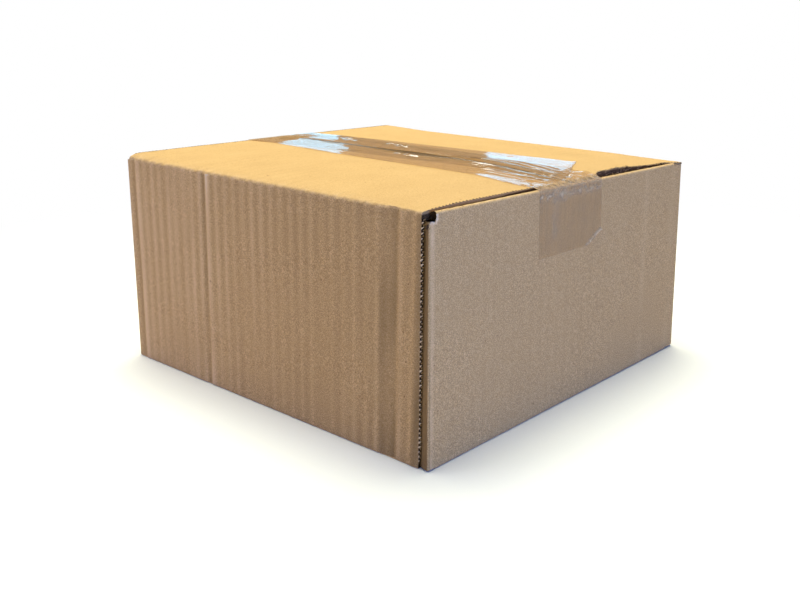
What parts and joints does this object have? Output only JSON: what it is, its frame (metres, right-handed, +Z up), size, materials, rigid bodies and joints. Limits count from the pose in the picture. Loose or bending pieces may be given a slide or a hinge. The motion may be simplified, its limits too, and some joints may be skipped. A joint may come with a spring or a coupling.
{
  "type": "closed cardboard box",
  "caption": "Low square carton of fluted board, folded from one sheet, closed by flaps and sealed with clear packing tape.",
  "frame": {"origin": "middle of the base, on the surface that the box stands on", "axes": "+Z up; +X out of the end panel that carries the tape's leg and the glued corner; -Y out of the long front panel"},
  "size_m": [0.2032, 0.193, 0.1042],
  "materials": {
    "kraft_board": "matt brown kraft liner with fine specks",
    "packing_tape": "glossy clear tan film"
  },
  "bodies": {
    "root": {"carton": "kraft_board", "top_tape_over": "packing_tape", "top_tape_under": "packing_tape", "base_tape": "packing_tape"}
  },
  "joints": []
}
